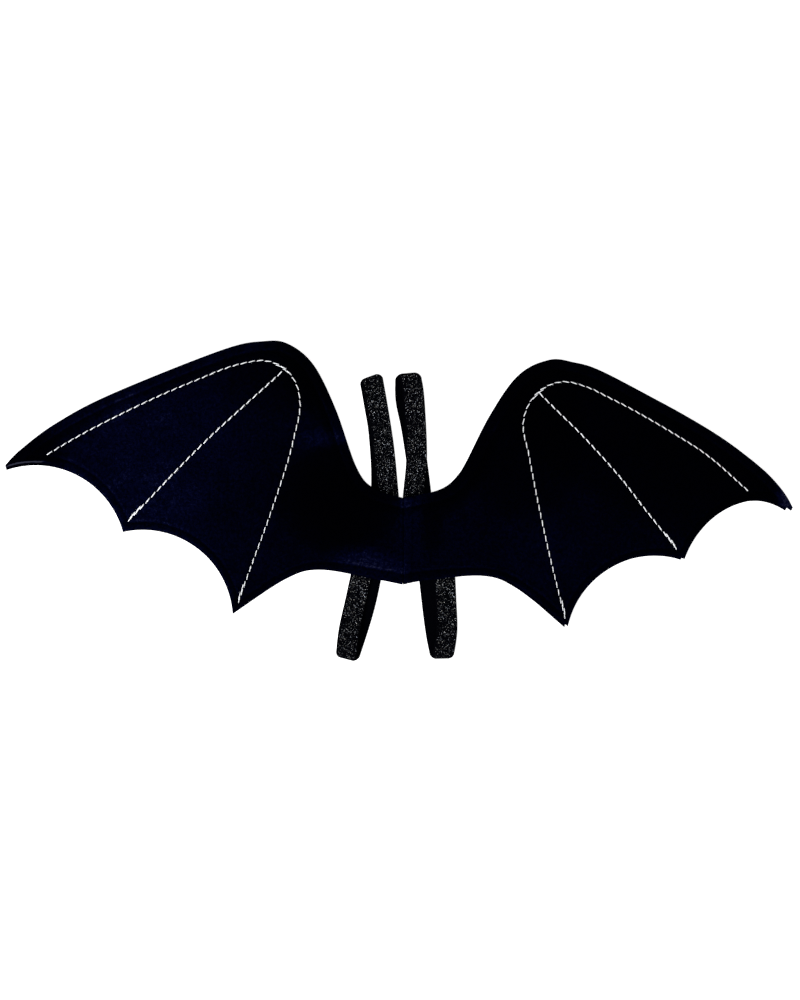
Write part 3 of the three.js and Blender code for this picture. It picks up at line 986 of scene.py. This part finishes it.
class Nodes:
    """A material's nodes, made and linked by short calls."""

    def __init__(self, name):
        self.material = bpy.data.materials.new(name)
        self.material.use_nodes = True
        self.tree = self.material.node_tree
        self.shader = self.tree.nodes["Principled BSDF"]

    def set(self, **values):
        """Constants on the shader itself."""
        for name, value in values.items():
            self.shader.inputs[name.replace("_", " ")].default_value = value

    def add(self, kind, inputs=(), **settings):
        node = self.tree.nodes.new(kind)
        for key, value in settings.items():
            setattr(node, key, value)
        for key, value in dict(inputs).items():
            self.join(value, node.inputs[key])
        return node

    def join(self, value, socket):
        if isinstance(value, bpy.types.NodeSocket):
            self.tree.links.new(value, socket)
        else:
            socket.default_value = value

    def math(self, operation, *values):
        return self.add("ShaderNodeMath", enumerate(values), operation=operation).outputs[0]

    def product(self, first, *others):
        for other in others:
            first = self.math("MULTIPLY", first, other)
        return first

    def spread(self, value, low, high, to_low=0, to_high=1):
        """A value between low and high, spread over another range and held inside it."""
        inputs = {"Value": value, "From Min": low, "From Max": high}
        inputs.update({"To Min": to_low, "To Max": to_high})
        return self.add("ShaderNodeMapRange", inputs, clamp=True).outputs[0]

    def noise(self, where, scale, detail=3.0, roughness=0.6):
        inputs = {"Vector": where, "Scale": scale, "Detail": detail, "Roughness": roughness}
        return self.add("ShaderNodeTexNoise", inputs).outputs[0]

    def attribute(self, name, output):
        """Values that a mesh carries."""
        return self.add("ShaderNodeAttribute", attribute_name=name).outputs[output]

    def mix(self, factor, first, second):
        """Two colours mixed, through the sockets that this node keeps for colours."""
        node = self.add("ShaderNodeMix", data_type="RGBA")
        self.join(factor, node.inputs[0])
        self.join(first, node.inputs[6])
        self.join(second, node.inputs[7])
        return node.outputs[2]

    def bump(self, height, strength, depth):
        inputs = {"Height": height, "Strength": strength, "Distance": depth}
        return self.add("ShaderNodeBump", inputs).outputs[0]


# Colours, as linear red, green and blue
# FELT_NAVY is the felt's own colour; FELT_BLACK is where its darkest fibres meet deep painted
# shade; FELT_PALE is painted highlight where the painted light is strongest
FELT_PALE = (0.022, 0.023, 0.036, 1)
FELT_NAVY = (0.001, 0.0018, 0.0166, 1)
FELT_BLACK = (0.00008, 0.00008, 0.0002, 1)
THREAD_WHITE = (0.96, 0.975, 1.0, 1)
THREAD_BLACK = (0.0004, 0.0004, 0.0008, 1)
ELASTIC_BLACK = (0.0001, 0.0001, 0.0003, 1)
ELASTIC_NAVY = (0.0006, 0.0008, 0.0024, 1)
GLITTER_COOL = (0.74, 0.83, 1.0, 1)
GLITTER_WARM = (1.0, 0.98, 0.9, 1)

# Fibres, mottle and clouds of the felt: each noise's scale, detail and roughness, then the
# range of it that counts and the shares of light that it is spread over
FELT_NOISES = [
    ((950, 5.0, 0.7), (0.36, 0.64, 0.0, 2.0)),
    ((330, 3.0), (0.38, 0.62, 0.45, 1.55)),
    ((45, 2.0), (0.35, 0.65, 0.8, 1.2)),
]
# Over which light the felt's colour turns from black to navy, and from that to pale
TO_NAVY = (0.0, 8.0)
TO_PALE = (5.5, 22.0)
MOTTLE_RISE = 1.5
# How strong a surface's bumps are, and their height in metres
FELT_BUMP = (0.6, 0.0004)
THREAD_BUMP = (0.5, 0.0002)
ELASTIC_BUMP = (0.7, 0.0004)
# Fibres of spun thread: their scale, the range that counts, and how dark the darkest are
THREAD_FIBRES = 4200
THREAD_RANGE = (0.35, 0.6)
THREAD_DARK = 0.86


def felt_material():
    """Brushed craft felt: matted fibres, a faint blue cast, and the painted light and shade that
    the mesh carries.
    """
    nodes = Nodes("felt")
    where = nodes.add("ShaderNodeTexCoord").outputs["Object"]
    noises = [nodes.noise(where, *noise) for noise, _ in FELT_NOISES]
    grains = [nodes.spread(noise, *over) for noise, (_, over) in zip(noises, FELT_NOISES)]
    # light: the fibres' random tone times the painted light and shade that the mesh carries
    light = nodes.product(*grains, nodes.attribute("nap", "Fac"))
    tone = nodes.mix(nodes.spread(light, *TO_NAVY), FELT_BLACK, FELT_NAVY)
    tone = nodes.mix(nodes.spread(light, *TO_PALE), tone, FELT_PALE)
    nodes.join(tone, nodes.shader.inputs["Base Color"])
    fibre, mottle, _ = noises
    height = nodes.math("ADD", fibre, nodes.math("MULTIPLY", mottle, MOTTLE_RISE))
    nodes.join(nodes.bump(height, *FELT_BUMP), nodes.shader.inputs["Normal"])
    nodes.set(Roughness=0.95, Specular_IOR_Level=0.003, Specular_Tint=(0.2, 0.3, 1, 1))
    nodes.set(Sheen_Weight=0.004, Sheen_Roughness=0.5, Sheen_Tint=(0.1, 0.16, 0.8, 1))
    return nodes.material


def thread_material(name, colour, sheen):
    """Spun thread: fine fibres across its plies."""
    nodes = Nodes(name)
    where = nodes.add("ShaderNodeTexCoord").outputs["Object"]
    fibre = nodes.noise(where, THREAD_FIBRES)
    dark = tuple(THREAD_DARK * c for c in colour[:3]) + (1,)
    tone = nodes.mix(nodes.spread(fibre, *THREAD_RANGE), dark, colour)
    nodes.join(tone, nodes.shader.inputs["Base Color"])
    nodes.join(nodes.bump(fibre, *THREAD_BUMP), nodes.shader.inputs["Normal"])
    nodes.set(Roughness=0.75, Specular_IOR_Level=sheen, Sheen_Weight=sheen, Sheen_Roughness=0.4)
    return nodes.material


# Flakes of metallic yarn on the elastic: how many, how few are bright, how their light falls
# off from their middle, how metallic and rough they are, and how they stand in the knit
FLAKES_PER_MM = 1.65
FLAKE_POWER = 18.0
FLAKE_EDGE = (0.3, 0.5, 1, 0)
FLAKE_METAL = (0, 0.4)
FLAKE_ROUGHNESS = (0.8, 0.45)
FLAKE_RISE = -1.5
# The stretch across the elastic that they cover, and what counts as its outer face
GLITTER_HALF = 8.8
GLITTER_FADE = 1
GLITTER_ASIDE = 0.4
OUTER_FACE = (0.2, 0.8)
# Each range and the shares of glitter over it: how level the elastic lies, as painted shade
# where it turns up at a fold; thick and thin patches; and places up the floor in metres, as
# painted shade where the loops below the waist face from the light
LEVEL_SHADE_ON_GLITTER = (0.6, 0.98, 0.1, 1)
PATCHES = (0.09, 2.0)
PATCH_GLITTER = (0.35, 0.65, 0.55, 1.45)
TURNED_AWAY = (-0.135, -0.09, 0.8, 1.25)
# The knit, in millimetres from one rib or wale to the next
RIB_PITCH = 1.3
WALE_PITCH = 1.1


def elastic_material():
    """Knitted elastic with metallic yarn on its outer face, and plain borders; its glitter is
    dimmed as painted shade where the elastic turns from the lights.
    """
    nodes = Nodes("elastic")
    weave = nodes.attribute("weave", "Vector")
    split = nodes.add("ShaderNodeSeparateXYZ", {"Vector": weave})
    across, run, face = split.outputs
    off_middle = nodes.math("ABSOLUTE", nodes.math("SUBTRACT", across, GLITTER_ASIDE))
    place = nodes.add("ShaderNodeTexCoord").outputs["Object"]
    upward = nodes.add("ShaderNodeSeparateXYZ", {"Vector": place}).outputs["Y"]
    # zone: the glitter stripe on the outer face and its thick and thin patches, with painted shade
    # by level and by place
    zone = nodes.product(
        nodes.spread(off_middle, GLITTER_HALF, GLITTER_HALF + GLITTER_FADE, 1, 0),
        nodes.spread(face, *OUTER_FACE),
        nodes.spread(nodes.attribute("level", "Fac"), *LEVEL_SHADE_ON_GLITTER),
        nodes.spread(nodes.noise(weave, *PATCHES), *PATCH_GLITTER),
        nodes.spread(upward, *TURNED_AWAY),
    )
    flakes = nodes.add("ShaderNodeTexVoronoi", {"Vector": weave, "Scale": FLAKES_PER_MM})
    chance = nodes.add("ShaderNodeSeparateColor", {"Color": flakes.outputs["Color"]})
    away = flakes.outputs["Distance"]
    bright = nodes.math("POWER", chance.outputs[0], FLAKE_POWER)
    glitter = nodes.product(bright, nodes.spread(away, *FLAKE_EDGE), zone)
    metal = nodes.mix(chance.outputs[1], GLITTER_COOL, GLITTER_WARM)
    rib = nodes.math("SINE", nodes.math("MULTIPLY", run, 2 * np.pi / RIB_PITCH))
    wale = nodes.math("SINE", nodes.math("MULTIPLY", across, 2 * np.pi / WALE_PITCH))
    knit = nodes.product(rib, wale)
    base = nodes.mix(nodes.spread(knit, -1, 1), ELASTIC_BLACK, ELASTIC_NAVY)
    nodes.join(nodes.mix(glitter, base, metal), nodes.shader.inputs["Base Color"])
    nodes.join(nodes.spread(glitter, 0, 1, *FLAKE_METAL), nodes.shader.inputs["Metallic"])
    nodes.join(nodes.spread(glitter, 0, 1, *FLAKE_ROUGHNESS), nodes.shader.inputs["Roughness"])
    height = nodes.math("ADD", knit, nodes.math("MULTIPLY", away, FLAKE_RISE))
    nodes.join(nodes.bump(height, *ELASTIC_BUMP), nodes.shader.inputs["Normal"])
    nodes.set(Specular_IOR_Level=0.007)
    return nodes.material


def floor_material():
    """Matt white that glows, so that it stays white out to its edges."""
    nodes = Nodes("floor")
    nodes.set(Base_Color=(0.8, 0.8, 0.8, 1), Roughness=0.9, Specular_IOR_Level=0.1)
    nodes.set(Emission_Color=(1, 1, 1, 1), Emission_Strength=0.82)
    return nodes.material


# The camera looks straight down, so that a millimetre at the felt is a pixel of the photograph
CAMERA_OFF = (-0.0037, 0.041)
CAMERA_RISE = 2.783
CAMERA_LENS = 100
CAMERA_SENSOR = 36
FLOOR_SIDE = 60
# Each square lamp's place and side in metres, and its power
LAMPS = {"key": ((-1.15, -0.95, 1.0), 1.0, 53), "top": ((0, 0, 3.2), 2.5, 12)}
WORLD_LIGHT = 0.36


def stage_floor():
    mesh = bpy.data.meshes.new("floor")
    half = FLOOR_SIDE / 2
    corners = [(-half, -half, 0), (half, -half, 0), (half, half, 0), (-half, half, 0)]
    mesh.from_pydata(corners, [], [(0, 1, 2, 3)])
    mesh.materials.append(floor_material())
    piece = bpy.data.objects.new("floor", mesh)
    bpy.context.scene.collection.objects.link(piece)


def soft_light(name, place, side, power):
    """A square lamp that faces the middle of the wings."""
    data = bpy.data.lights.new(name, "AREA")
    data.size = side
    data.energy = power
    lamp = bpy.data.objects.new(name, data)
    lamp.location = place
    lamp.rotation_mode = "QUATERNION"
    lamp.rotation_quaternion = Vector(place).to_track_quat("Z", "Y")
    bpy.context.scene.collection.objects.link(lamp)


def camera():
    data = bpy.data.cameras.new("camera")
    data.lens = CAMERA_LENS
    data.sensor_width = CAMERA_SENSOR
    looking = bpy.data.objects.new("camera", data)
    x, y = OFFSET[0] * MM + CAMERA_OFF[0], OFFSET[1] * MM + CAMERA_OFF[1]
    looking.location = (x, y, CAMERA_RISE)
    bpy.context.scene.collection.objects.link(looking)
    bpy.context.scene.camera = looking


def light_scene():
    for name, (place, side, power) in LAMPS.items():
        soft_light(name, place, side, power)
    world = bpy.data.worlds.new("studio")
    world.use_nodes = True
    background = world.node_tree.nodes["Background"]
    background.inputs["Color"].default_value = (1, 1, 1, 1)
    background.inputs["Strength"].default_value = WORLD_LIGHT
    bpy.context.scene.world = world
    bpy.context.scene.view_settings.view_transform = "Standard"


camera()
stage_floor()
light_scene()

felt = felt_material()
white = thread_material("white_thread", THREAD_WHITE, 0.2)
black = thread_material("black_thread", THREAD_BLACK, 0.0)
elastic = elastic_material()

for side in ROUTES:
    band, band_length = band_piece(side, elastic)
    boxes = box_stitches(side, black)

for side in ROUTES:
    back = felt_piece(f"felt_back_{side}", f"back_{side}_wing", felt)
    front = felt_piece(f"felt_front_{side}", f"front_{side}_wing", felt)
    over, under = face_tree(front), face_tree(back)
    rows, lines = edge_rows(), white_lines(side)
    sewn = [
        white_stitches(side, white, over),
        plain_stitches("edge_stitches", side, rows, HEM_PITCH, HEM_GAP, black, over),
    ]
    hidden = [
        plain_stitches("white_reverse", side, lines, STITCH_PITCH, STITCH_GAP, white, under, 1),
        plain_stitches("edge_reverse", side, rows, HEM_PITCH, HEM_GAP, black, under, 1),
    ]
